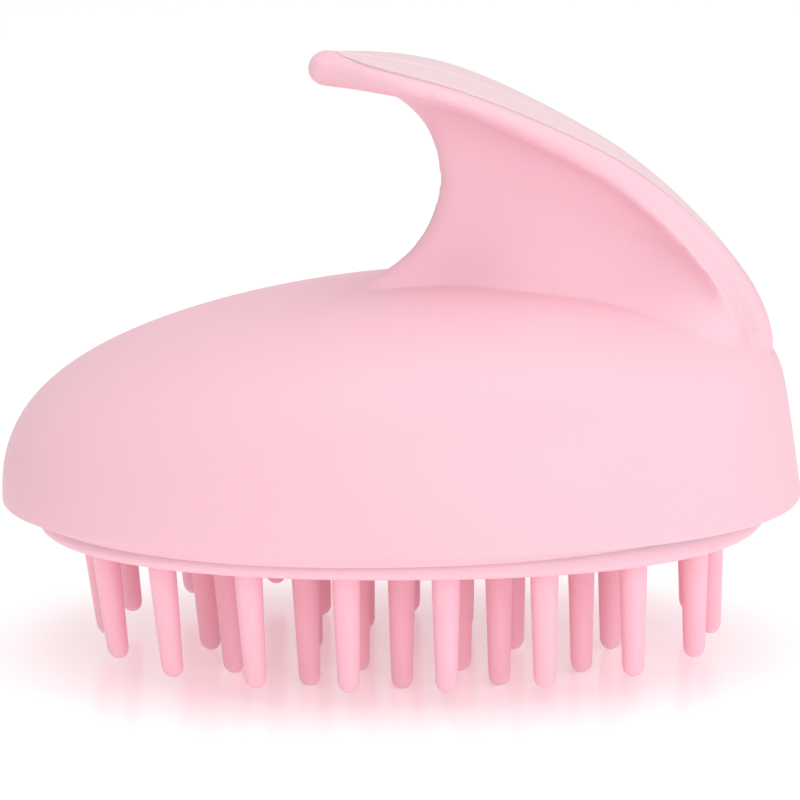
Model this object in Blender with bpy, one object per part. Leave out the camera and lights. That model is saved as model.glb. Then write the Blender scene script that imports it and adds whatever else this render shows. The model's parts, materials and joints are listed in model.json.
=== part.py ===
"""Scalp massager brush: a domed shell with a hook-shaped finger strap, over a soft pad of flexible pins.

Metres, +Z up. The centre pin's tip stands on the floor at the origin, +X points to the heel, where the
strap rises from the dome, and the brush is symmetric about the XZ plane. Run it with
blender --background --python part.py, or from the text editor.
"""
import bisect
import math

import bmesh
import bpy
from mathutils import Vector

# Driving dimensions
HALF_LENGTH = 0.0498  # the dome at its widest line
HALF_WIDTH = 0.0365
SHELL_EDGE_Z = 0.0194  # bottom edge of the shell's tucked-in lip, below the middle
SHELL_EDGE_SLOPE = 0.015  # the edge rises a little towards the heel
WIDEST_Z = 0.0208
DOME_TOP_Z = 0.0471
CREST_X = 0.008  # the dome's highest point lies towards the heel
LIP_TUCK = 0.0018  # how far the lip turns in below the widest line
LIP_THICKNESS = 0.0012
WALL = 0.0024
OVAL_POWER = 2.3  # the outlines seen from above are superellipses
NOSE_RISE_POWER = 2.66  # these powers give the dome's profile at the nose and across its sides
NOSE_ROUND_POWER = 1.7
SIDE_RISE_POWER = 2.67
SIDE_ROUND_POWER = 2.73
HEEL_LEAN = 0.085  # share of its reach that the nearly upright heel loses on the way up
HEEL_SLOPE = 1.7  # how far the sloping top over the heel would reach
HEEL_CORNER_POWER = 14  # how tightly the heel turns over into that slope

STRAP_THICKNESS = 0.0032
TIP_THICKNESS = 0.0043
STRAP_SIDE_POWER = 0.62  # the strap's section is a flat oval with fully rounded edges
STRAP_FACE_POWER = 0.8
WEB_HALF_THICKNESS = 0.0027
WEB_NOSE_RADIUS = 0.003  # of the web's free front edge
FILLET_HEIGHT = 0.0085  # the web spreads over this height towards the dome and the strap
FOOT_SPREAD_FRONT = 0.0032  # how far it spreads at the dome, less at its front than at the heel
FOOT_SPREAD_HEEL = 0.0084
FOOT_WIDENS_X = 0.016
FOOT_WIDENS_LENGTH = 0.022
HEAD_SPREAD = 0.68  # how far it spreads at the strap, as a share of the strap's half width
WEB_NOSE_FLAT = 0.15  # share of the width left flat at the very front
WEB_STRIPS = 18  # strips of the web, each fanning from its front edge to a station of the strap
WEB_STEPS = 13  # points along a strip, closer together at the front
WEB_STEP_POWER = 1.3
WEB_FAN_POWER = 0.85
WEB_TOP_STATION = 8
WEB_INTO_STRAP = 0.6  # share of the strap's thickness that the web reaches into it
STRAP_STATIONS = 53

COVER_THICKNESS = 0.0012
COVER_EDGE = 0.0018  # the strap's rolled edge left around the cover
GAP = 0.0003  # between pieces that touch
CLEAR = 0.002  # how far a cutter reaches past the face that it cuts

PLATE_HALF_LENGTH = 0.0450
PLATE_HALF_WIDTH = 0.0322
PLATE_THICKNESS = 0.002
PEG_PLACES = ((-0.024, 0.013), (-0.024, -0.013), (0.025, 0.015), (0.025, -0.015))
PEG_RADIUS = 0.002
PEG_TOP_Z = 0.032
PEG_ROOM = 0.001  # left above a peg in its bore
BOSS_RADIUS = 0.0042
BOSS_BOTTOM_Z = 0.0235

PAD_HALF_LENGTH = 0.045
PAD_HALF_WIDTH = 0.0339
PAD_UNDERSIDE_Z = 0.017
PAD_RIM_TOP_Z = 0.0185
PAD_RIM_ROUND = 0.0008
PAD_NECK = 0.0018  # the pad is this much smaller all round where it enters the shell
PAD_TOP_Z = 0.019
STUD_PLACES = ((-0.036, 0.0), (0.036, 0.0), (0.0, 0.024), (0.0, -0.024))
STUD_RADIUS = 0.0018
STUD_HEAD_RADIUS = 0.0032
STUD_HEAD_HEIGHT = 0.0016
STUD_DEPTH = 0.001  # how far a stud's stem starts below the pad's top
STUD_NOSE = 0.6  # radius of a stud's narrow end, as a share of its stem's

ROOT_RADIUS = 0.0017
TIP_RADIUS = 0.0013
TIP_FLAT_RADIUS = 0.0006
NOSE_LEAN = math.radians(6.5)  # the pins nearest the nose lean in under the brush
# ring: name, number of pins, half length, half width, x of its middle, height of its tips
PIN_RINGS = (
    ("outer_pin", 18, 0.0386, 0.0283, 0.0, 0.002),
    ("middle_pin", 12, 0.0257, 0.0188, 0.0004, 0.0),
    ("inner_pin", 6, 0.0129, 0.0114, 0.001, 0.0),
    ("centre_pin", 1, 0.0, 0.0, 0.0, 0.0),
)
OUTLINE_POINTS = 720  # fine steps along a ring, for spacing its pins evenly
TINY = 1e-12  # keeps a division by a zero length away

# The strap's crown line from its tip to the heel, as (x, z), and its half width at each of these stations
STRAP_LINE = (
    (-0.0085, 0.0760),
    (0.0000, 0.0748),
    (0.0080, 0.0727),
    (0.0180, 0.0684),
    (0.0280, 0.0628),
    (0.0365, 0.0556),
    (0.0432, 0.0475),
    (0.0463, 0.0405),
    (0.0468, 0.0335),
)
STRAP_HALF_WIDTHS = (0.0034, 0.0092, 0.0106, 0.0090, 0.0066, 0.0054, 0.0050, 0.0050, 0.0048)
# The web's free front edge, the back of the finger gap, as (x, z)
WEB_FRONT = (
    (-0.0120, 0.0440),
    (-0.0035, 0.0475),
    (0.0020, 0.0520),
    (0.0046, 0.0575),
    (0.0048, 0.0620),
    (0.0030, 0.0672),
    (-0.0010, 0.0712),
    (-0.0030, 0.0727),
)

SHELL_PINK = (0.93, 0.58, 0.65)
COVER_PINK = (0.92, 0.66, 0.70)
PAD_PINK = (0.96, 0.45, 0.54)


def new_material(name, colour, roughness):
    material = bpy.data.materials.new(name)
    material.use_nodes = True
    shader = material.node_tree.nodes["Principled BSDF"]
    shader.inputs["Base Color"].default_value = (*colour, 1.0)
    shader.inputs["Roughness"].default_value = roughness
    shader.inputs["Metallic"].default_value = 0.0
    return material


def add_object(name, bm, material, collection):
    """Turns a bmesh into a smooth-shaded object in the collection."""
    bmesh.ops.recalc_face_normals(bm, faces=bm.faces)
    mesh = bpy.data.meshes.new(name)
    bm.to_mesh(mesh)
    bm.free()
    mesh.shade_smooth()
    mesh.set_sharp_from_angle(angle=math.radians(40))
    obj = bpy.data.objects.new(name, mesh)
    if material:
        mesh.materials.append(material)
    collection.objects.link(obj)
    return obj


def add_cutter(name, bm, collection):
    obj = add_object(name, bm, None, collection)
    obj.hide_render = True
    obj.display_type = "WIRE"
    return obj


def add_boolean(obj, tool, operation):
    modifier = obj.modifiers.new(f"{operation.lower()} {tool.name}", "BOOLEAN")
    modifier.operation = operation
    modifier.object = tool
    modifier.solver = "EXACT"


def loft(bm, rings):
    """Skins rings with equal numbers of points, given as lists of positions, and closes both ends."""
    loops = [[bm.verts.new(point) for point in ring] for ring in rings]
    for lower, upper in zip(loops, loops[1:]):
        for i in range(len(lower)):
            bm.faces.new((lower[i - 1], lower[i], upper[i], upper[i - 1]))
    ends = [bm.faces.new(loops[0]), bm.faces.new(loops[-1])]
    bmesh.ops.triangulate(bm, faces=ends)


def power_of(value, power):
    return math.copysign(abs(value) ** power, value)


def oval(half_length, half_width, z, centre_x=0.0, points=48):
    """One superellipse outline at height z."""
    ring = []
    for i in range(points):
        turn = 2 * math.pi * i / points
        x = centre_x + half_length * power_of(math.cos(turn), 2 / OVAL_POWER)
        ring.append((x, half_width * power_of(math.sin(turn), 2 / OVAL_POWER), z))
    return ring


def catmull_rom(a, b, c, d, t):
    """A smooth value between b and c, where t runs from 0 to 1."""
    square = (2 * a - 5 * b + 4 * c - d) * t**2
    cube = (3 * b - a - 3 * c + d) * t**3
    return (2 * b + (c - a) * t + square + cube) / 2


def smooth_line(points, count):
    """Points at even steps along a Catmull-Rom curve, each with its value of 0 to len - 1."""
    out = []
    for i in range(count):
        where = (len(points) - 1) * i / (count - 1)
        k = min(int(where), len(points) - 2)
        t = where - k
        p0 = points[max(k - 1, 0)]
        p1, p2 = points[k], points[k + 1]
        p3 = points[min(k + 2, len(points) - 1)]
        out.append(tuple(catmull_rom(*values, t) for values in zip(p0, p1, p2, p3)))
    return out


def heel_reach(rise):
    """Share of the heel's reach at a height: a nearly upright back that turns over into a sloping top."""
    upright = 1 - HEEL_LEAN * rise
    sloping = HEEL_SLOPE * math.sqrt(1 - rise)
    return (upright**-HEEL_CORNER_POWER + sloping**-HEEL_CORNER_POWER) ** (-1 / HEEL_CORNER_POWER)


def dome_ring(rise, inset=0.0):
    """The dome's outline at a height, where rise runs from 0 at the widest line to 1 at the crest."""
    nose_reach = (1 - rise**NOSE_RISE_POWER) ** (1 / NOSE_ROUND_POWER)
    nose = CREST_X - (HALF_LENGTH + CREST_X) * nose_reach + inset
    heel = CREST_X + (HALF_LENGTH - CREST_X) * heel_reach(rise) - inset
    half_width = HALF_WIDTH * (1 - rise**SIDE_RISE_POWER) ** (1 / SIDE_ROUND_POWER) - inset
    z = WIDEST_Z + (DOME_TOP_Z - WIDEST_Z - inset) * rise
    return oval((heel - nose) / 2, half_width, z, (heel + nose) / 2)


def dome_rings(inset, steps=9, last=0.985):
    """Rings from the widest line to a small flat at the crest, closer together where the dome levels off."""
    return [dome_ring(last * math.sin(math.pi / 2 * i / steps), inset) for i in range(steps + 1)]


def strap_stations(count):
    """(x, z, half width) at even steps along the strap's crown line."""
    line = [(x, z, w) for (x, z), w in zip(STRAP_LINE, STRAP_HALF_WIDTHS)]
    return smooth_line(line, count)


def strap_frames(stations):
    """Each station's point, half width and the upward normal of the crown line there."""
    frames = []
    for i, (x, z, half_width) in enumerate(stations):
        before = stations[max(i - 1, 0)]
        after = stations[min(i + 1, len(stations) - 1)]
        along = Vector((after[0] - before[0], 0, after[1] - before[1])).normalized()
        frames.append((Vector((x, 0, z)), half_width, Vector((-along.z, 0, along.x))))
    return frames


def strap_section(point, normal, half_width, thickness, points=16):
    """A flat oval with fully rounded edges, hung below the crown line."""
    centre = point - normal * thickness / 2
    ring = []
    for i in range(points):
        turn = 2 * math.pi * i / points
        side = Vector((0, half_width * power_of(math.cos(turn), STRAP_SIDE_POWER), 0))
        ring.append(centre + side + normal * (thickness / 2 * power_of(math.sin(turn), STRAP_FACE_POWER)))
    return ring


def strap_bmesh():
    frames = strap_frames(strap_stations(25))
    start, half_width, normal = frames[0]
    outward = Vector((-normal.z, 0, normal.x))
    rings = []
    for angle in (75, 50, 25):
        size = math.cos(math.radians(angle))
        point = start + outward * (math.sin(math.radians(angle)) * TIP_THICKNESS * 0.55)
        point -= normal * (TIP_THICKNESS / 2 * (1 - size))
        rings.append(strap_section(point, normal, half_width * size, TIP_THICKNESS * size))
    for i, (point, half_width, normal) in enumerate(frames):
        fade = min(i / 6, 1.0)
        thickness = TIP_THICKNESS + (STRAP_THICKNESS - TIP_THICKNESS) * fade
        rings.append(strap_section(point, normal, half_width, thickness))
    bm = bmesh.new()
    loft(bm, rings)
    return bm


def leaf_bmesh(grow, top, bottom):
    """The leaf-shaped cover in the strap's top face, or with grow its pocket, between two depths."""
    frames = strap_frames(strap_stations(49))[1:38]
    rings = []
    for i, (point, half_width, normal) in enumerate(frames):
        taper = math.sin(math.pi / 2 * min(1.0, (len(frames) - 1 - i) / 14))
        start = math.sin(math.pi / 2 * min(1.0, (i + 0.6) / 3))
        half = max((half_width - COVER_EDGE) * taper * start, 0.0006) + grow
        side = Vector((0, half, 0))
        high, low = point + normal * top, point - normal * bottom
        rings.append([high - side, high, high + side, low + side, low, low - side])
    bm = bmesh.new()
    loft(bm, rings)
    return bm


def fillet(distance, spread):
    """How much wider the web is at a distance from the dome or the strap, where it spreads that far."""
    near = max(0.0, 1 - max(distance, 0.0) / FILLET_HEIGHT)
    return spread * (1 - math.sqrt(max(0.0, 1 - near**2)))


def foot_spread(x):
    """How far the web spreads at the dome: more towards the heel, where the strap comes down to it."""
    share = min(max((x - FOOT_WIDENS_X) / FOOT_WIDENS_LENGTH, 0.0), 1.0)
    return FOOT_SPREAD_FRONT + (FOOT_SPREAD_HEEL - FOOT_SPREAD_FRONT) * share**2 * (3 - 2 * share)


def dome_crest_at(x):
    """Height of the dome's top line above the XZ plane's point x."""
    low, high = 0.0, 1.0
    for _ in range(24):
        rise = (low + high) / 2
        if x < CREST_X + (HALF_LENGTH - CREST_X) * heel_reach(rise):
            low = rise
        else:
            high = rise
    return WIDEST_Z + (DOME_TOP_Z - WIDEST_Z) * (low if x > CREST_X else 1.0)


def web_half_width(x, z, x_front, strap_half_width, strap_points):
    """The web's half width at a point of the XZ plane, with its rounded front edge and its fillets."""
    to_strap = min((Vector((x, 0, z)) - point).length for point in strap_points) - STRAP_THICKNESS
    to_dome = z - dome_crest_at(x)
    spread = max(fillet(to_strap, strap_half_width * HEAD_SPREAD), fillet(to_dome, foot_spread(x)))
    behind = min((x - x_front) / WEB_NOSE_RADIUS, 1.0)
    rounding = math.sqrt(1 - (1 - behind) ** 2)
    return (WEB_HALF_THICKNESS + spread) * (WEB_NOSE_FLAT + (1 - WEB_NOSE_FLAT) * rounding)


def web_bmesh():
    """The upright web: strips that fan from its free front edge to the strap, wider near dome and strap."""
    front = smooth_line(WEB_FRONT, WEB_STRIPS)
    frames = strap_frames(strap_stations(STRAP_STATIONS))
    strap_points = [point for point, _, _ in frames]
    rings = []
    for i, (x_front, z_front) in enumerate(front):
        down = 1 - i / (WEB_STRIPS - 1)
        station = round(WEB_TOP_STATION + (STRAP_STATIONS - 1 - WEB_TOP_STATION) * down**WEB_FAN_POWER)
        crown, half_width, normal = frames[station]
        back = crown - normal * STRAP_THICKNESS * WEB_INTO_STRAP
        side = []
        for step in range(WEB_STEPS):
            t = (step / (WEB_STEPS - 1)) ** WEB_STEP_POWER
            x = x_front + (back.x - x_front) * t
            z = z_front + (back.z - z_front) * t
            side.append((x, web_half_width(x, z, x_front, half_width, strap_points), z))
        rings.append([(x, -half, z) for x, half, z in side] + [(x, half, z) for x, half, z in reversed(side)])
    bm = bmesh.new()
    loft(bm, rings)
    return bm


def cylinder_bmesh(places, radius, bottom, top, segments=16):
    bm = bmesh.new()
    for x, y in places:
        made = bmesh.ops.create_cone(
            bm, cap_ends=True, segments=segments, radius1=radius, radius2=radius, depth=top - bottom
        )
        bmesh.ops.translate(bm, verts=made["verts"], vec=(x, y, (top + bottom) / 2))
    return bm


def make_upper_shell(material, collection, cutters):
    """Dome, web and strap are one moulding, hollow under the dome, with four bosses for the plate's pegs."""
    outer = bmesh.new()
    level_lip = oval(HALF_LENGTH - LIP_TUCK, HALF_WIDTH - LIP_TUCK, SHELL_EDGE_Z)
    lip = [(x, y, z + SHELL_EDGE_SLOPE * x) for x, y, z in level_lip]
    loft(outer, [lip, *dome_rings(0.0)])
    shell = add_object("upper_shell", outer, material, collection)

    add_boolean(shell, add_cutter("strap_form", strap_bmesh(), cutters), "UNION")
    add_boolean(shell, add_cutter("web_form", web_bmesh(), cutters), "UNION")

    hollow_bm = bmesh.new()
    lip_inset = LIP_TUCK + LIP_THICKNESS
    mouth = oval(HALF_LENGTH - lip_inset, HALF_WIDTH - lip_inset, SHELL_EDGE_Z - CLEAR)
    loft(hollow_bm, [mouth, *dome_rings(WALL, last=0.97)])
    hollow = add_cutter("dome_hollow", hollow_bm, cutters)
    bosses = cylinder_bmesh(PEG_PLACES, BOSS_RADIUS, BOSS_BOTTOM_Z, DOME_TOP_Z + CLEAR)
    add_boolean(hollow, add_cutter("boss_form", bosses, cutters), "DIFFERENCE")
    add_boolean(shell, hollow, "DIFFERENCE")

    bores = cylinder_bmesh(PEG_PLACES, PEG_RADIUS + GAP, BOSS_BOTTOM_Z - CLEAR, PEG_TOP_Z + PEG_ROOM)
    add_boolean(shell, add_cutter("peg_bores", bores, cutters), "DIFFERENCE")

    pocket = leaf_bmesh(GAP, 2 * CLEAR, COVER_THICKNESS + GAP)
    add_boolean(shell, add_cutter("cover_pocket", pocket, cutters), "DIFFERENCE")
    return shell


def make_handle_cover(material, collection):
    """The thin leaf let into the strap's top face."""
    return add_object("handle_cover", leaf_bmesh(0.0, 0.0, COVER_THICKNESS), material, collection)


def make_base_plate(material, collection, cutters):
    """Closes the dome from below and holds the pad: four pegs press into the shell's bosses."""
    bottom = PAD_TOP_Z + GAP
    bm = bmesh.new()
    loft(
        bm,
        [
            oval(PLATE_HALF_LENGTH, PLATE_HALF_WIDTH, bottom),
            oval(PLATE_HALF_LENGTH, PLATE_HALF_WIDTH, bottom + PLATE_THICKNESS),
        ],
    )
    plate = add_object("base_plate", bm, material, collection)
    pegs = cylinder_bmesh(PEG_PLACES, PEG_RADIUS, bottom + PLATE_THICKNESS / 2, PEG_TOP_Z)
    add_boolean(plate, add_cutter("peg_form", pegs, cutters), "UNION")
    holes = cylinder_bmesh(STUD_PLACES, STUD_RADIUS + GAP, bottom - CLEAR, bottom + PLATE_THICKNESS + CLEAR)
    add_boolean(plate, add_cutter("stud_holes", holes, cutters), "DIFFERENCE")
    return plate


def make_pad(material, collection, cutters):
    """The soft pad: a rounded rim, a plate, and four studs pulled through the base plate."""
    corner = PAD_RIM_ROUND * (1 - math.sqrt(0.5))
    outline = [
        (PAD_RIM_ROUND, PAD_UNDERSIDE_Z),
        (corner, PAD_UNDERSIDE_Z + corner),
        (0.0, PAD_UNDERSIDE_Z + PAD_RIM_ROUND),
        (0.0, PAD_RIM_TOP_Z),
        (PAD_NECK, PAD_RIM_TOP_Z),
        (PAD_NECK, PAD_TOP_Z),
    ]
    bm = bmesh.new()
    loft(bm, [oval(PAD_HALF_LENGTH - inset, PAD_HALF_WIDTH - inset, z) for inset, z in outline])
    pad = add_object("silicone_pad", bm, material, collection)
    head_bottom = PAD_TOP_Z + GAP + PLATE_THICKNESS + GAP
    stem_top = head_bottom + STUD_HEAD_HEIGHT / 3
    stems = cylinder_bmesh(STUD_PLACES, STUD_RADIUS, PAD_TOP_Z - STUD_DEPTH, stem_top)
    add_boolean(pad, add_cutter("stud_stems", stems, cutters), "UNION")
    heads = bmesh.new()
    for x, y in STUD_PLACES:
        made = bmesh.ops.create_cone(
            heads,
            cap_ends=True,
            segments=16,
            radius1=STUD_HEAD_RADIUS,
            radius2=STUD_RADIUS * STUD_NOSE,
            depth=STUD_HEAD_HEIGHT,
        )
        bmesh.ops.translate(heads, verts=made["verts"], vec=(x, y, head_bottom + STUD_HEAD_HEIGHT / 2))
    add_boolean(pad, add_cutter("stud_heads", heads, cutters), "UNION")
    return pad


def pin_mesh(name, length, material):
    """A tapered pin hanging from its root's centre at the origin, round at the root, flat at the very tip."""
    profile = [(0.0, ROOT_RADIUS)]
    for angle in (60, 30, 0):
        turn = math.radians(angle)
        profile.append((ROOT_RADIUS * math.cos(turn), ROOT_RADIUS * math.sin(turn)))
    round_z = -length + TIP_RADIUS
    for angle in (0, 35):
        turn = math.radians(angle)
        profile.append((TIP_RADIUS * math.cos(turn), round_z - TIP_RADIUS * math.sin(turn)))
    profile.append((TIP_FLAT_RADIUS, -length))
    profile.append((0.0, -length))
    bm = bmesh.new()
    verts = [bm.verts.new((r, 0, z)) for r, z in profile]
    edges = [bm.edges.new(pair) for pair in zip(verts, verts[1:])]
    bmesh.ops.spin(
        bm, geom=verts + edges, cent=(0, 0, 0), axis=(0, 0, 1), angle=2 * math.pi, steps=10, use_merge=True
    )
    bmesh.ops.remove_doubles(bm, verts=bm.verts, dist=1e-6)
    bmesh.ops.dissolve_limit(bm, angle_limit=math.radians(0.5), verts=bm.verts, edges=bm.edges)
    bmesh.ops.recalc_face_normals(bm, faces=bm.faces)
    mesh = bpy.data.meshes.new(name)
    bm.to_mesh(mesh)
    bm.free()
    mesh.shade_smooth()
    mesh.set_sharp_from_angle(angle=math.radians(40))
    mesh.materials.append(material)
    return mesh


def spaced_places(outline, count):
    """Points at even distances along a closed outline."""
    points = [Vector(point) for point in outline + outline[:1]]
    run = [0.0]
    for before, after in zip(points, points[1:]):
        run.append(run[-1] + (after - before).length)
    places = []
    for i in range(count):
        distance = run[-1] * i / count
        k = bisect.bisect_right(run, distance, hi=len(run) - 1) - 1
        share = (distance - run[k]) / max(run[k + 1] - run[k], TINY)
        places.append(points[k].lerp(points[k + 1], share))
    return places


def make_pins(material, collection):
    """Rings of pins and one in the centre, each turning about its root, which is its object's origin."""
    root_z = PAD_UNDERSIDE_Z - GAP - ROOT_RADIUS
    for name, count, half_length, half_width, middle_x, tip_z in PIN_RINGS:
        outline = oval(half_length, half_width, 0.0, middle_x, OUTLINE_POINTS)
        for i, (x, y, _) in enumerate(spaced_places(outline, count)):
            lean = NOSE_LEAN * max(0.0, -x / PIN_RINGS[0][2])
            reach = TIP_FLAT_RADIUS * math.sin(lean)
            length = (root_z - tip_z - reach) / math.cos(lean)
            label = name if count == 1 else f"{name}_{i + 1:02d}"
            pin = bpy.data.objects.new(label, pin_mesh(label, length, material))
            pin.location = (x, y, root_z)
            pin.rotation_euler = (0, -lean, 0)
            collection.objects.link(pin)


def clear_scene():
    for obj in list(bpy.data.objects):
        bpy.data.objects.remove(obj, do_unlink=True)


clear_scene()
brush = bpy.data.collections.new("scalp_massager_brush")
cutting = bpy.data.collections.new("cutters")
bpy.context.scene.collection.children.link(brush)
bpy.context.scene.collection.children.link(cutting)

shell_plastic = new_material("shell_plastic", SHELL_PINK, 0.42)
cover_plastic = new_material("cover_plastic", COVER_PINK, 0.38)
pad_silicone = new_material("pad_silicone", PAD_PINK, 0.5)

make_upper_shell(shell_plastic, brush, cutting)
make_handle_cover(cover_plastic, brush)
make_base_plate(shell_plastic, brush, cutting)
make_pad(pad_silicone, brush, cutting)
make_pins(pad_silicone, brush)
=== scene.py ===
"""Looks of the scalp massager brush: a pink moulded shell with a finger strap, over a soft pad of pins."""
import json
import math

import bmesh
import bpy
import numpy as np
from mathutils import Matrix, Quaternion, Vector


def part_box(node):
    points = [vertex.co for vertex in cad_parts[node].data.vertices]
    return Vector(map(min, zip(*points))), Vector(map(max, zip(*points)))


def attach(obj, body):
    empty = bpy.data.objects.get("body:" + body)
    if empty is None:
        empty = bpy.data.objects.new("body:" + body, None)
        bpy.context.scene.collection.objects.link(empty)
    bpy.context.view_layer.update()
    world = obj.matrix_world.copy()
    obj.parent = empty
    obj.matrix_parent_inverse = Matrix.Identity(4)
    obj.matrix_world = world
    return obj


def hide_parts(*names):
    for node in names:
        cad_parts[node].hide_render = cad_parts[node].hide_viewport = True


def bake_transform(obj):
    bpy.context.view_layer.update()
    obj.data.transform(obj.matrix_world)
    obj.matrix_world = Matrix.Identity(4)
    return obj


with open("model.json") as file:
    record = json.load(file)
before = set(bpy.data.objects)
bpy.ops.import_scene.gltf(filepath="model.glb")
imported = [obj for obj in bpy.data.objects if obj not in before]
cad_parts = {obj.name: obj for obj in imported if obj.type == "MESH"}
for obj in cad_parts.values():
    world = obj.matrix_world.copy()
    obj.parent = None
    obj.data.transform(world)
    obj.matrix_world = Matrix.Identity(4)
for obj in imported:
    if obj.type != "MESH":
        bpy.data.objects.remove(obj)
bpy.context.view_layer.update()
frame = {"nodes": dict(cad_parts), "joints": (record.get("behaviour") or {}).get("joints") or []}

# Camera: a long lens a little above the brush and a touch to its heel side, with the brush filling the frame.
camera_data = bpy.data.cameras.new("studio camera")
camera_data.lens = 252.7
camera_data.clip_end = 20
camera = bpy.data.objects.new("studio camera", camera_data)
bpy.context.scene.collection.objects.link(camera)
bpy.context.scene.camera = camera
camera_aim = Vector((-0.0001, 0, 0.03203))
camera_distance = 0.7
camera_height, camera_side, camera_roll = (math.radians(turn) for turn in (12.25, 1.6, -0.5))
camera_back = Vector(
    (
        math.sin(camera_side) * math.cos(camera_height),
        -math.cos(camera_side) * math.cos(camera_height),
        math.sin(camera_height),
    )
)
camera.location = camera_aim + camera_back * camera_distance
camera.rotation_mode = "QUATERNION"
camera.rotation_quaternion = (-camera_back).to_track_quat("-Z", "Y") @ Quaternion((0, 0, 1), camera_roll)


# Upper shell: dome, web and finger strap are one injection moulding in satin pink plastic, hollow under the
# dome. Generous fillets run from the web into the dome and the strap, its lip tucks in over the soft pad,
# and the top of the strap has a leaf-shaped pocket for the handle cover.
HALF_LENGTH = 0.0498
HALF_WIDTH = 0.0365
LIP_BOTTOM = 0.0192
LIP_SLOPE = 0.015
LIP_RISE = 0.7
WIDEST = 0.0208
DOME_TOP = 0.0471
CREST_X = 0.008
LIP_TUCK_ENDS = 0.0025
LIP_TUCK_SIDES = 0.0014
LIP_THICKNESS = 0.0008
WALL = 0.0024
OVAL_POWER = 2.3
NOSE_RISE_POWER = 2.66
NOSE_ROUND_POWER = 1.7
SIDE_RISE_POWER = 2.67
SIDE_ROUND_POWER = 2.73
HEEL_LEAN = 0.085
HEEL_SLOPE = 1.7
HEEL_CORNER_POWER = 14
CREST_RISE = 0.9992
STRAP_THICKNESS = 0.0032
STRAP_SIDE_POWER = 0.62
STRAP_FACE_POWER = 0.8
TIP_THICKNESS = 0.0043
TIP_BOW = 0.55
WEB_FRONT_HALF = 0.0015
WEB_NOSE = 0.0026
FOOT_HEIGHT = 0.013
FOOT_CREASE = 0.93
HEAD_SPREAD = 0.68
FILLET_HEIGHT = 0.0085
COVER_THICKNESS = 0.0012
COVER_EDGE = 0.0018
COVER_SEAM = 0.00015
VOXEL = 0.00055
STRAP_LINE = (
    (-0.0085, 0.0760, 0.0034),
    (0.0000, 0.0748, 0.0092),
    (0.0080, 0.0727, 0.0106),
    (0.0180, 0.0684, 0.0090),
    (0.0280, 0.0628, 0.0066),
    (0.0365, 0.0556, 0.0054),
    (0.0432, 0.0475, 0.0050),
    (0.0462, 0.0405, 0.0052),
    (0.0455, 0.0335, 0.0052),
)
WEB_FRONT = (
    (-0.0120, 0.0440),
    (-0.0035, 0.0475),
    (0.0020, 0.0520),
    (0.0046, 0.0575),
    (0.0048, 0.0620),
    (0.0030, 0.0672),
    (-0.0010, 0.0712),
    (-0.0030, 0.0727),
)


def power_of(value, power):
    return math.copysign(abs(value) ** power, value)


def ease(value):
    """A smooth step from 0 to 1."""
    value = min(max(value, 0.0), 1.0)
    return value * value * (3 - 2 * value)


def on_oval(half_length, half_width, turn, z, middle_x=0.0):
    x = middle_x + half_length * power_of(math.cos(turn), 2 / OVAL_POWER)
    return Vector((x, half_width * power_of(math.sin(turn), 2 / OVAL_POWER), z))


def turn_of(point, half_length, half_width):
    """Where a point stands round an oval, the reverse of on_oval."""
    side = power_of(point.y / half_width, OVAL_POWER / 2)
    return math.atan2(side, power_of(point.x / half_length, OVAL_POWER / 2))


def smooth_point(points, share):
    """A point at a share of 0 to 1 along a smooth curve through the points."""
    place = min(max(share, 0.0), 1.0) * (len(points) - 1)
    k = min(int(place), len(points) - 2)
    t = place - k
    a, b, c, d = (points[min(max(k + i, 0), len(points) - 1)] for i in (-1, 0, 1, 2))
    return [
        (2 * q + (r - p) * t + (2 * p - 5 * q + 4 * r - s) * t**2 + (3 * q - p - 3 * r + s) * t**3) / 2
        for p, q, r, s in zip(a, b, c, d)
    ]


def dome_outline(rise, inset=0.0):
    """The dome's nose x, heel x and half width at a rise of 0 at its widest line to 1 at its crest."""
    nose_reach = (1 - rise**NOSE_RISE_POWER) ** (1 / NOSE_ROUND_POWER)
    upright = 1 - HEEL_LEAN * rise
    sloping = HEEL_SLOPE * (1 - rise) ** 0.5
    turn_over = upright**-HEEL_CORNER_POWER + sloping**-HEEL_CORNER_POWER
    nose = CREST_X - (HALF_LENGTH + CREST_X) * nose_reach + inset
    heel = CREST_X + (HALF_LENGTH - CREST_X) * turn_over ** (-1 / HEEL_CORNER_POWER) - inset
    side_reach = (1 - rise**SIDE_RISE_POWER) ** (1 / SIDE_ROUND_POWER)
    return nose, heel, HALF_WIDTH * side_reach - inset


def dome_point(turn, rise, inset=0.0):
    nose, heel, half_width = dome_outline(rise, inset)
    z = WIDEST + (DOME_TOP - WIDEST - inset) * rise
    return on_oval((heel - nose) / 2, half_width, turn, z, (heel + nose) / 2)


def strap_frame(share):
    """A point on the strap's crown line, the half width there, and the crown's upward normal."""
    x, z, half = smooth_point(STRAP_LINE, share)
    before, after = (smooth_point(STRAP_LINE, share + step) for step in (-0.01, 0.01))
    along = Vector((after[0] - before[0], 0, after[1] - before[1])).normalized()
    return Vector((x, 0, z)), half, Vector((-along.z, 0, along.x))


def grid(bm, columns, rows, place):
    """A sheet of faces whose points are put in place by their share across and their share along."""
    made = bmesh.ops.create_grid(bm, x_segments=columns, y_segments=rows, size=0.5)["verts"]
    for vert in made:
        vert.co = place(vert.co.x + 0.5, vert.co.y + 0.5)
    bmesh.ops.remove_doubles(bm, verts=made, dist=1e-6)


def open_edges(bm):
    return [edge for edge in bm.edges if edge.is_boundary]


def close_up(bm):
    bmesh.ops.holes_fill(bm, edges=open_edges(bm), sides=0)
    bmesh.ops.recalc_face_normals(bm, faces=bm.faces)


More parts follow.
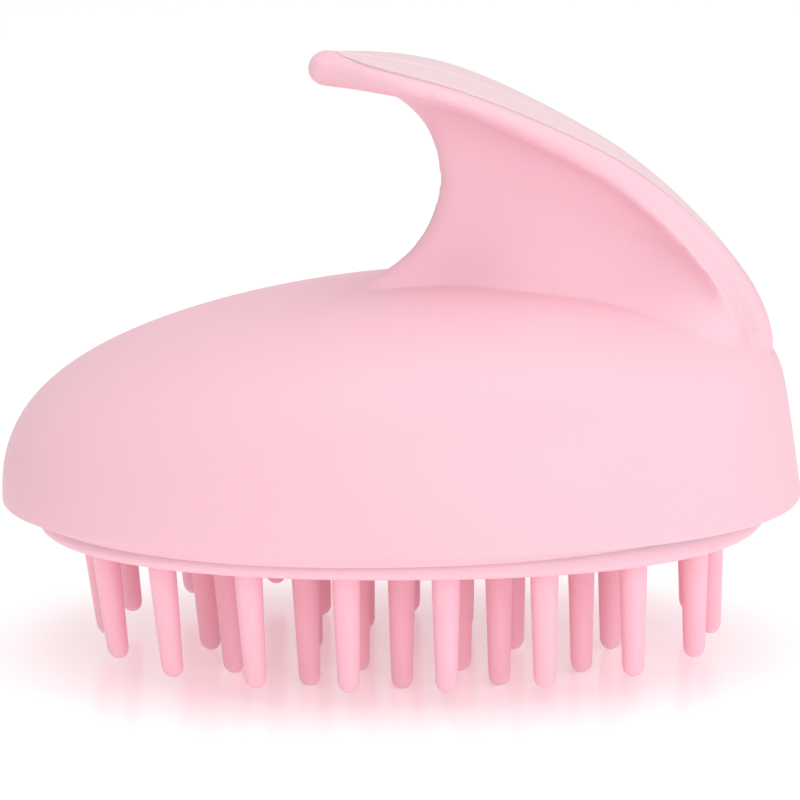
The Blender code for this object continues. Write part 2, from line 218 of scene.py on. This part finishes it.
def make_piece(name, bm, sharp_angle=35):
    """Turns a bmesh into a smooth-shaded object at the origin, with its real edges left sharp."""
    mesh = bpy.data.meshes.new(name)
    bm.to_mesh(mesh)
    bm.free()
    mesh.shade_smooth()
    mesh.set_sharp_from_angle(angle=math.radians(sharp_angle))
    piece = bpy.data.objects.new(name, mesh)
    bpy.context.scene.collection.objects.link(piece)
    return piece


def bake_modifiers(piece):
    """Puts what the modifiers make into the piece's own mesh."""
    view = bpy.context.evaluated_depsgraph_get()
    mesh = bpy.data.meshes.new_from_object(piece.evaluated_get(view))
    piece.modifiers.clear()
    piece.data = mesh


def dome_place(across, along):
    """The dome, over a straight skirt below its widest line that is trimmed off later."""
    turn = 2 * math.pi * across
    skirt_share, skirt_height = 0.1, 0.004
    if along < skirt_share:
        below = skirt_height * (skirt_share - along) / skirt_share
        return on_oval(HALF_LENGTH, HALF_WIDTH, turn, WIDEST - below)
    up = (along - skirt_share) / (1 - skirt_share)
    return dome_point(turn, CREST_RISE * math.sin(math.pi / 2 * up))


def strap_place(across, along):
    """The strap: a flat oval section that runs along the crown line, behind a rounded tip."""
    turn = 2 * math.pi * across
    tip_share = 0.12
    share = max(0.0, (along - tip_share) / (1 - tip_share))
    point, half, normal = strap_frame(share)
    thickness = TIP_THICKNESS + (STRAP_THICKNESS - TIP_THICKNESS) * min(share * 4, 1.0)
    if along < tip_share:
        bow = math.radians(90) * (1 - along / tip_share)
        outward = Vector((-normal.z, 0, normal.x))
        size = math.cos(bow) ** 0.8
        point = point + outward * (math.sin(bow) * TIP_THICKNESS * TIP_BOW)
        point = point - normal * (thickness / 2 * (1 - size))
        half, thickness = half * size, thickness * size
    side = half * power_of(math.cos(turn), STRAP_SIDE_POWER)
    below = thickness / 2 * (1 - power_of(math.sin(turn), STRAP_FACE_POWER))
    return point - normal * below + Vector((0, side, 0))


CROWN_STEPS = 160
strap_points = [strap_frame(i / CROWN_STEPS)[0] for i in range(CROWN_STEPS + 1)]
crest_heights = {}


def crest_height(x):
    """Height of the dome's top line at x."""
    key = round(x, 5)
    if key not in crest_heights:
        low, high = 0.0, 0.9999
        for _ in range(20):
            rise = (low + high) / 2
            low, high = (rise, high) if x < dome_outline(rise)[1] else (low, rise)
        crest_heights[key] = WIDEST + (DOME_TOP - WIDEST) * (low if x > CREST_X else 1.0)
    return crest_heights[key]


def fillet(distance, reach, height, end=1.0):
    """How much wider the web is at a distance from a fillet's foot; an end below 1 leaves a crease there."""
    near = end * max(0.0, 1 - max(distance, 0.0) / height)
    return reach * (1 - math.sqrt(1 - near * near)) / (1 - math.sqrt(1 - end * end))


def web_place(across, along):
    """The web: lines that fan from its free front edge to the strap, wider towards dome, strap and heel."""
    depth = (1 - abs(2 * across - 1)) ** 1.8
    crown, strap_half, normal = strap_frame(1 - 0.85 * along**0.85)
    x_front, z_front = smooth_point(WEB_FRONT, along)
    back = crown - normal * STRAP_THICKNESS * 0.6
    x, z = x_front + (back.x - x_front) * depth, z_front + (back.z - z_front) * depth
    to_strap = min((Vector((x, 0, z)) - point).length for point in strap_points) - STRAP_THICKNESS
    round_front = math.sqrt(max(0.0, 1 - max(0.0, 1 - (x - x_front) / WEB_NOSE) ** 2))
    half = WEB_FRONT_HALF + 0.0012 * ease((x - 0.003) / 0.016) + 0.0022 * ease((x - 0.028) / 0.014)
    foot = 0.0008 + 0.002 * ease((x - 0.005) / 0.010) + 0.0038 * ease((x - 0.022) / 0.018)
    foot *= 1 - 0.8 * ease((x - 0.039) / 0.007)
    under_strap = fillet(to_strap, strap_half * HEAD_SPREAD, FILLET_HEIGHT)
    half += max(under_strap, fillet(z - crest_height(x), foot, FOOT_HEIGHT, FOOT_CREASE))
    half = half * round_front if depth < 1 else 0.0
    return Vector((x, math.copysign(half, across - 0.5), z))


shell_bm = bmesh.new()
grid(shell_bm, 160, 60, dome_place)
grid(shell_bm, 64, 110, strap_place)
grid(shell_bm, 96, 70, web_place)
close_up(shell_bm)
shell = make_piece("shell", shell_bm)
remesh = shell.modifiers.new("one moulding", "REMESH")
remesh.mode = "VOXEL"
remesh.voxel_size = VOXEL
bake_modifiers(shell)


def nearest_on_dome(points):
    """Each point's place on the dome's true surface: level with it or plumb over it, whichever is nearer."""
    x, y, z = points.T
    rise = np.clip((z - WIDEST) / (DOME_TOP - WIDEST), 0, 0.9995)

    def size_at(heights):
        nose, heel, half = dome_outline(heights)
        middle = (nose + heel) / 2
        reach = np.abs((x - middle) * 2 / (heel - nose)) ** OVAL_POWER + np.abs(y / half) ** OVAL_POWER
        return middle, np.maximum(reach, 1e-9) ** (1 / OVAL_POWER)

    middle, size = size_at(rise)
    level = np.stack((middle + (x - middle) / size, y / size, z), 1)
    low, high = np.zeros(len(x)), np.full(len(x), 0.9999)
    for _ in range(24):
        half_way = (low + high) / 2
        inside = size_at(half_way)[1] < 1
        low, high = np.where(inside, half_way, low), np.where(inside, high, half_way)
    plumb = np.stack((x, y, WIDEST + (DOME_TOP - WIDEST) * low), 1)
    nearer = np.linalg.norm(level - points, axis=1) < np.linalg.norm(plumb - points, axis=1)
    nearer &= z < DOME_TOP
    return np.where(nearer[:, None], level, plumb)


SMOOTHING_ROUNDS = 9
ON_DOME = 0.0001
OFF_DOME = 0.0008

shell_bm = bmesh.new()
shell_bm.from_mesh(shell.data)
for _ in range(SMOOTHING_ROUNDS):
    bmesh.ops.smooth_vert(
        shell_bm, verts=shell_bm.verts, factor=0.5, use_axis_x=True, use_axis_y=True, use_axis_z=True
    )
bmesh.ops.bisect_plane(
    shell_bm, geom=[*shell_bm.verts, *shell_bm.edges, *shell_bm.faces], dist=1e-7,
    plane_co=(0, 0, WIDEST), plane_no=(0, 0, -1), clear_outer=True,
)
shell_bm.verts.ensure_lookup_table()
points = np.array([vert.co for vert in shell_bm.verts])
on_dome = nearest_on_dome(points)
gaps = np.linalg.norm(on_dome - points, axis=1)
for vert, target, gap in zip(shell_bm.verts, on_dome, gaps):
    vert.co = vert.co.lerp(Vector(target), 1 - ease((gap - ON_DOME) / (OFF_DOME - ON_DOME)))


# The lip tucks in from a crisp corner, then come its flat underside and the dome's hollow.
LIP_STEPS = 5
LIP_LEAST = 0.0003
HOLLOW_STEPS = 12
HOLLOW_FROM = 0.03
HOLLOW_TO = 0.97


def next_ring(bm, edges, half_length, half_width, middle_x, place):
    """Extrudes a ring of edges once; place gives each new point from its turn round the present oval."""
    made = bmesh.ops.extrude_edge_only(bm, edges=edges)["geom"]
    for vert in [item for item in made if isinstance(item, bmesh.types.BMVert)]:
        vert.co = place(turn_of(vert.co - Vector((middle_x, 0, 0)), half_length, half_width))
    return [item for item in made if isinstance(item, bmesh.types.BMEdge)]


def lip_height(x):
    """The lip's bottom edge rises towards the heel, and a little more towards both ends."""
    return min(LIP_BOTTOM + LIP_SLOPE * x + LIP_RISE * x * x, WIDEST - LIP_LEAST)


def lip_point(turn, share):
    """A point of the lip, at a share of the way down it; its corner is a little softer at the heel."""
    softness = 1 + 0.3 * ease((math.cos(turn) + 0.3) / 1.2)
    ends, sides = (tuck * share**softness for tuck in (LIP_TUCK_ENDS, LIP_TUCK_SIDES))
    point = on_oval(HALF_LENGTH - ends, HALF_WIDTH - sides, turn, WIDEST)
    point.z += (lip_height(point.x) - WIDEST) * share
    return point


ring = open_edges(shell_bm)
for vert in {vert for edge in ring for vert in edge.verts}:
    vert.co = on_oval(HALF_LENGTH, HALF_WIDTH, turn_of(vert.co, HALF_LENGTH, HALF_WIDTH), WIDEST)
for step in range(1, LIP_STEPS + 1):
    ring = next_ring(
        shell_bm, ring, HALF_LENGTH, HALF_WIDTH, 0, lambda turn: lip_point(turn, step / LIP_STEPS)
    )
half_length, half_width, middle_x = HALF_LENGTH - LIP_TUCK_ENDS, HALF_WIDTH - LIP_TUCK_SIDES, 0


def mouth_point(turn):
    point = on_oval(half_length - LIP_THICKNESS, half_width - LIP_THICKNESS, turn, LIP_BOTTOM)
    point.z = lip_height(point.x)
    return point


ring = next_ring(shell_bm, ring, half_length, half_width, middle_x, mouth_point)
half_length, half_width = half_length - LIP_THICKNESS, half_width - LIP_THICKNESS
for step in range(HOLLOW_STEPS):
    up = math.sin(math.pi / 2 * step / (HOLLOW_STEPS - 1))
    rise = HOLLOW_FROM + (HOLLOW_TO - HOLLOW_FROM) * up
    ring = next_ring(
        shell_bm, ring, half_length, half_width, middle_x, lambda turn: dome_point(turn, rise, WALL)
    )
    nose, heel, half_width = dome_outline(rise, WALL)
    half_length, middle_x = (heel - nose) / 2, (heel + nose) / 2
ceiling = Vector((middle_x, 0, WIDEST + (DOME_TOP - WIDEST - WALL) * rise))
next_ring(shell_bm, ring, half_length, half_width, middle_x, lambda turn: ceiling)
bmesh.ops.remove_doubles(shell_bm, verts=shell_bm.verts, dist=1e-6)
bmesh.ops.recalc_face_normals(shell_bm, faces=shell_bm.faces)
shell_bm.to_mesh(shell.data)
shell_bm.free()
shell.data.shade_smooth()
shell.data.set_sharp_from_angle(angle=math.radians(30))


def leaf_frame(along):
    """Where the cover lies on the strap: a point, its half width and its normal, from tip to heel end."""
    point, half, normal = strap_frame((1 + 36 * along) / 48)
    start = math.sqrt(1 - (1 - min(1.0, (along * 36 + 0.02) / 3)) ** 2)
    taper = math.sin(math.pi / 2 * min(1.0, (1 - along) * 36 / 14))
    return point, max((half - COVER_EDGE) * start * taper, 0.0004), normal


def around_leaf(across, along, grow, top, bottom, gather=1.0):
    """A point round the leaf's flat section: over the top, down its edge, along below and up again."""
    point, half, normal = leaf_frame(along)
    half += grow
    side, share = divmod(across * 4, 1)
    reach = power_of(2 * share - 1, gather)
    y, height = ((half * reach, 1), (half, 1 - share), (-half * reach, 0), (-half, share))[int(side) % 4]
    rise = top(y, half, along) if callable(top) else top
    return point + Vector((0, y, 0)) + normal * (bottom + (rise - bottom) * height)


pocket_bm = bmesh.new()
depth = -COVER_THICKNESS - COVER_SEAM
grid(pocket_bm, 40, 72, lambda across, along: around_leaf(across, along, COVER_SEAM, 0.004, depth))
close_up(pocket_bm)
pocket = make_piece("pocket", pocket_bm)
cut = shell.modifiers.new("cover pocket", "BOOLEAN")
cut.operation = "DIFFERENCE"
cut.object = pocket
cut.solver = "EXACT"
bake_modifiers(shell)
bpy.data.objects.remove(pocket)
shell.data.shade_smooth()
shell.data.set_sharp_from_angle(angle=math.radians(30))


class Value:
    """A socket of a finish's nodes; arithmetic on it adds Math nodes."""

    def __init__(self, finish, socket):
        self.finish = finish
        self.socket = socket

    def maths(self, operation, first, second):
        return self.finish.node("Math", {"operation": operation}, {0: first, 1: second})

    def __add__(self, other):
        return self.maths("ADD", self, other)

    def __mul__(self, other):
        return self.maths("MULTIPLY", self, other)

    __radd__ = __add__
    __rmul__ = __mul__


class Finish:
    """A material being built. node() adds any node: its type, its settings, and its sockets' values."""

    def __init__(self, name):
        self.material = bpy.data.materials.new(name)
        self.material.use_nodes = True
        self.tree = self.material.node_tree
        self.shader = self.tree.nodes["Principled BSDF"]
        self.place = self.node("TexCoord", {}, {}, "Object")

    def plug(self, value, socket):
        if isinstance(value, Value):
            self.tree.links.new(value.socket, socket)
        else:
            socket.default_value = value

    def node(self, kind, settings, sockets, output=0):
        made = self.tree.nodes.new("ShaderNode" + kind)
        for key, setting in settings.items():
            setattr(made, key, setting)
        for key, value in sockets.items():
            self.plug(value, made.inputs[key])
        return Value(self, made.outputs[output])

    def noise(self, scale, detail=2.0):
        return self.node("TexNoise", {}, {"Vector": self.place, "Scale": scale, "Detail": detail})

    def between(self, share, low, high):
        """A colour between two others."""
        colours = {"Factor": share, 6: (*low, 1.0), 7: (*high, 1.0)}
        return self.node("Mix", {"data_type": "RGBA"}, colours, 2)

    def surface(self, **sockets):
        for name, value in sockets.items():
            self.plug(value, self.shader.inputs[name.replace("_", " ").title().replace("Ior", "IOR")])

    def grain(self, height, strength, depth):
        """A fine relief in the surface."""
        return self.node("Bump", {}, {"Strength": strength, "Distance": depth, "Height": height}, "Normal")


# Satin pink with a fine spark-eroded grain, a little uneven in tone as moulded colour is.
satin = Finish("satin pink plastic")
tone = satin.noise(22.0)
texture = satin.noise(3200.0, 3.0)
satin.surface(
    base_color=satin.between(tone, (0.84, 0.50, 0.575), (0.87, 0.535, 0.61)),
    roughness=0.42 + 0.08 * tone + 0.05 * texture,
    normal=satin.grain(texture, 0.12, 0.00003),
    subsurface_weight=0.12,
    subsurface_radius=(0.003, 0.0014, 0.0014),
    subsurface_scale=1.0,
    specular_ior_level=0.42,
)
shell.data.materials.clear()
shell.data.materials.append(satin.material)
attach(shell, "brush_body")
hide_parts("upper_shell")


# Handle cover: a thin leaf moulded in a paler pink, snapped into the strap's pocket, slightly crowned and
# with a fine crease along its middle that fades out towards the heel. Its rim is a crisp small bevel.
CREASE_DEPTH = 0.0003
CREASE_HALF = 0.00028
CROWN = 0.0003


def cover_top(y, half, along):
    crease = CREASE_DEPTH * math.exp(-((y / CREASE_HALF) ** 2)) * (1 - ease((along - 0.5) / 0.2))
    return 0.00005 - CROWN * (y / half) ** 2 * min(half / 0.006, 1.0) - crease * min(half / 0.003, 1.0)


cover_bm = bmesh.new()
bottom = -COVER_THICKNESS
grid(cover_bm, 128, 144, lambda across, along: around_leaf(across, along, 0.0, cover_top, bottom, 1.7))
close_up(cover_bm)
rim = [edge for edge in cover_bm.edges if edge.calc_face_angle(0) > math.radians(55)]
bmesh.ops.bevel(
    cover_bm, geom=rim, offset=0.00012, offset_type="OFFSET", segments=2, profile=0.5, affect="EDGES",
    material=-1, clamp_overlap=True,
)
cover = make_piece("handle_leaf", cover_bm, 50)

pale = Finish("pale pink plastic")
tone = pale.noise(30.0)
texture = pale.noise(3600.0, 3.0)
pale.surface(
    base_color=pale.between(tone, (0.79, 0.57, 0.605), (0.82, 0.61, 0.645)),
    roughness=0.34 + 0.08 * tone + 0.05 * texture,
    normal=pale.grain(texture, 0.1, 0.00002),
    subsurface_weight=0.1,
    subsurface_radius=(0.003, 0.0014, 0.0014),
    subsurface_scale=1.0,
)
cover.data.materials.append(pale.material)
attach(cover, "brush_body")
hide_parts("handle_cover")


# Base plate: the plain moulded plate that closes the dome from below, its four pegs pressed into the
# shell's bosses. The CAD's own shape is right, and gets a duller version of the shell's plastic.
plain = Finish("plain pink plastic")
tone = plain.noise(40.0)
scuff = plain.noise(900.0, 4.0)
plain.surface(
    base_color=plain.between(tone, (0.80, 0.46, 0.52), (0.86, 0.52, 0.58)),
    roughness=0.5 + 0.1 * scuff,
    normal=plain.grain(scuff, 0.15, 0.00004),
)
plate = frame["nodes"]["base_plate"]
plate.data.materials.clear()
plate.data.materials.append(plain.material)


# Soft pad: silicone in a stronger pink, moulded as one with its pins. A rounded rim shows below the shell,
# and four studs on its back are pulled through the base plate's holes.
PAD_HALF_LENGTH = 0.0454
PAD_HALF_WIDTH = 0.034
PAD_UNDER = 0.01715
PAD_TOP = 0.019
PAD_ROUND = 0.0011
PAD_SKIRT = 0.0005


def pad_profile(x):
    """The pad's section, from the middle of its underside round its rim to the middle of its top."""
    rim_top = lip_height(x) + 0.0001
    turns = [math.pi / 2 * i / 8 for i in range(9)]
    section = [(size, PAD_ROUND, PAD_UNDER) for size in (0.0, 0.5, 0.9)]
    for turn in turns:
        section.append((1.0, PAD_ROUND * (1 - math.sin(turn)), PAD_UNDER + PAD_ROUND * (1 - math.cos(turn))))
    section += [(1.0, 0.0, rim_top - 0.0002), (1.0, 0.0001, rim_top), (1.0, PAD_SKIRT, rim_top)]
    return section + [(size, PAD_SKIRT, PAD_TOP) for size in (1.0, 0.5, 0.0)]


def pad_place(across, along):
    turn = 2 * math.pi * across
    rim = on_oval(PAD_HALF_LENGTH, PAD_HALF_WIDTH, turn, 0.0)
    section = pad_profile(rim.x)
    size, inset, z = section[round(along * (len(section) - 1))]
    return on_oval((PAD_HALF_LENGTH - inset) * size, (PAD_HALF_WIDTH - inset) * size, turn, z)


pad_bm = bmesh.new()
grid(pad_bm, 200, len(pad_profile(0.0)) - 1, pad_place)
bmesh.ops.recalc_face_normals(pad_bm, faces=pad_bm.faces)
for x, y in ((-0.036, 0.0), (0.036, 0.0), (0.0, 0.024), (0.0, -0.024)):
    for radius_low, radius_high, low, high in (
        (0.0018, 0.0018, 0.0186, 0.0218), (0.0032, 0.0011, 0.0216, 0.0232)
    ):
        stud = bmesh.ops.create_cone(
            pad_bm, cap_ends=True, segments=24, radius1=radius_low, radius2=radius_high, depth=high - low
        )
        bmesh.ops.translate(pad_bm, verts=stud["verts"], vec=(x, y, (low + high) / 2))
pad = make_piece("pad", pad_bm)

silicone = Finish("pink silicone")
tone = silicone.noise(60.0)
bloom = silicone.noise(1800.0, 3.0)
silicone.surface(
    base_color=silicone.between(tone, (0.95, 0.50, 0.585), (0.97, 0.55, 0.64)),
    roughness=0.40 + 0.12 * bloom,
    normal=silicone.grain(bloom, 0.08, 0.00003),
    subsurface_weight=0.45,
    subsurface_radius=(0.004, 0.0016, 0.0016),
    subsurface_scale=1.0,
)
pad.data.materials.append(silicone.material)
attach(pad, "brush_body")
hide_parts("silicone_pad")


# Pins: one with the pad, each a soft tapered finger with a small fillet at its root and a rounded tip. They
# stand in three oval rings round a centre one and lean in a little towards the nose from the root.
ROOT_RADIUS = 0.0017
TIP_RADIUS = 0.0013
ROOT_FILLET = 0.0008
NOSE_LEAN = math.radians(6.5)
OUTER_HALF_LENGTH = 0.0386
PIN_STEPS = 28
TIP_STEPS = 8


def pin_radius(z, root_z, tip_z):
    share = (root_z - z) / (root_z - tip_z)
    taper = ROOT_RADIUS + (TIP_RADIUS - ROOT_RADIUS) * min(max(share, 0.0), 1.0)
    flare = ROOT_FILLET * max(0.0, 1 - (PAD_UNDER - z) / 0.0013) ** 2
    return taper + flare


for joint in frame["joints"]:
    pin_name = joint["child"]
    root = Vector(joint["pos_m"])
    tip_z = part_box(pin_name)[0].z
    lean = math.tan(NOSE_LEAN * max(0.0, -root.x / OUTER_HALF_LENGTH))
    pin_bm = bmesh.new()
    heights = [PAD_UNDER + 0.0002 - 0.0002 * i for i in range(8)]
    heights += [heights[-1] - 0.0004 * i for i in range(1, 9)]
    heights += [heights[-1] + (tip_z + TIP_RADIUS - heights[-1]) * (i / 9) for i in range(1, 10)]
    outline = [(pin_radius(min(z, PAD_UNDER), root.z, tip_z), z) for z in heights]
    for i in range(1, TIP_STEPS + 1):
        angle = math.pi / 2 * i / TIP_STEPS
        radius = TIP_RADIUS * math.cos(angle) ** 0.9 if i < TIP_STEPS else 0.0
        outline.append((radius, tip_z + TIP_RADIUS * (1 - math.sin(angle))))
    made = [pin_bm.verts.new((radius, 0, z)) for radius, z in outline]
    chain = [pin_bm.edges.new(pair) for pair in zip(made, made[1:])]
    bmesh.ops.spin(
        pin_bm, geom=made + chain, cent=(0, 0, 0), axis=(0, 0, 1), angle=2 * math.pi, steps=PIN_STEPS,
        use_merge=True,
    )
    bmesh.ops.remove_doubles(pin_bm, verts=pin_bm.verts, dist=1e-6)
    for vert in pin_bm.verts:
        vert.co.x += root.x + lean * max(0.0, root.z + 0.0005 - vert.co.z)
        vert.co.y += root.y
    close_up(pin_bm)
    pin = make_piece("soft_" + pin_name, pin_bm, 60)
    pin.data.materials.append(silicone.material)
    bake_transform(pin)
    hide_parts(pin_name)


# Studio: a plain pale floor, one broad softbox overhead, a fill at each side, and an even pale surround.
floor_bm = bmesh.new()
bmesh.ops.create_grid(floor_bm, x_segments=8, y_segments=8, size=6)
floor = make_piece("studio floor", floor_bm)
paper = Finish("pale studio paper")
tone = paper.noise(3.0)
paper.surface(
    base_color=paper.between(tone, (0.93, 0.93, 0.93), (0.95, 0.95, 0.95)),
    roughness=0.16 + 0.06 * tone,
    specular_ior_level=0.5,
    emission_color=(1.0, 1.0, 1.0, 1.0),
    emission_strength=0.22,
)
floor.data.materials.append(paper.material)

surround = bpy.data.worlds.new("studio surround")
surround.use_nodes = True
surround.node_tree.nodes["Background"].inputs["Color"].default_value = (1.0, 0.985, 0.985, 1.0)
surround.node_tree.nodes["Background"].inputs["Strength"].default_value = 0.72
bpy.context.scene.world = surround
bpy.context.scene.view_settings.view_transform = "Standard"
for name, place, size, power in (
    ("overhead softbox", (0.03, -0.06, 0.75), 0.7, 2.1),
    ("front fill", (0.25, -0.8, 0.25), 0.6, 2.1),
    ("heel side fill", (0.75, -0.1, 0.3), 0.5, 0.7),
):
    light_data = bpy.data.lights.new(name, "AREA")
    light_data.size = size
    light_data.energy = power
    light = bpy.data.objects.new(name, light_data)
    light.location = place
    light.rotation_mode = "QUATERNION"
    light.rotation_quaternion = (Vector((0, 0, 0.035)) - Vector(place)).to_track_quat("-Z", "Y")
    bpy.context.scene.collection.objects.link(light)
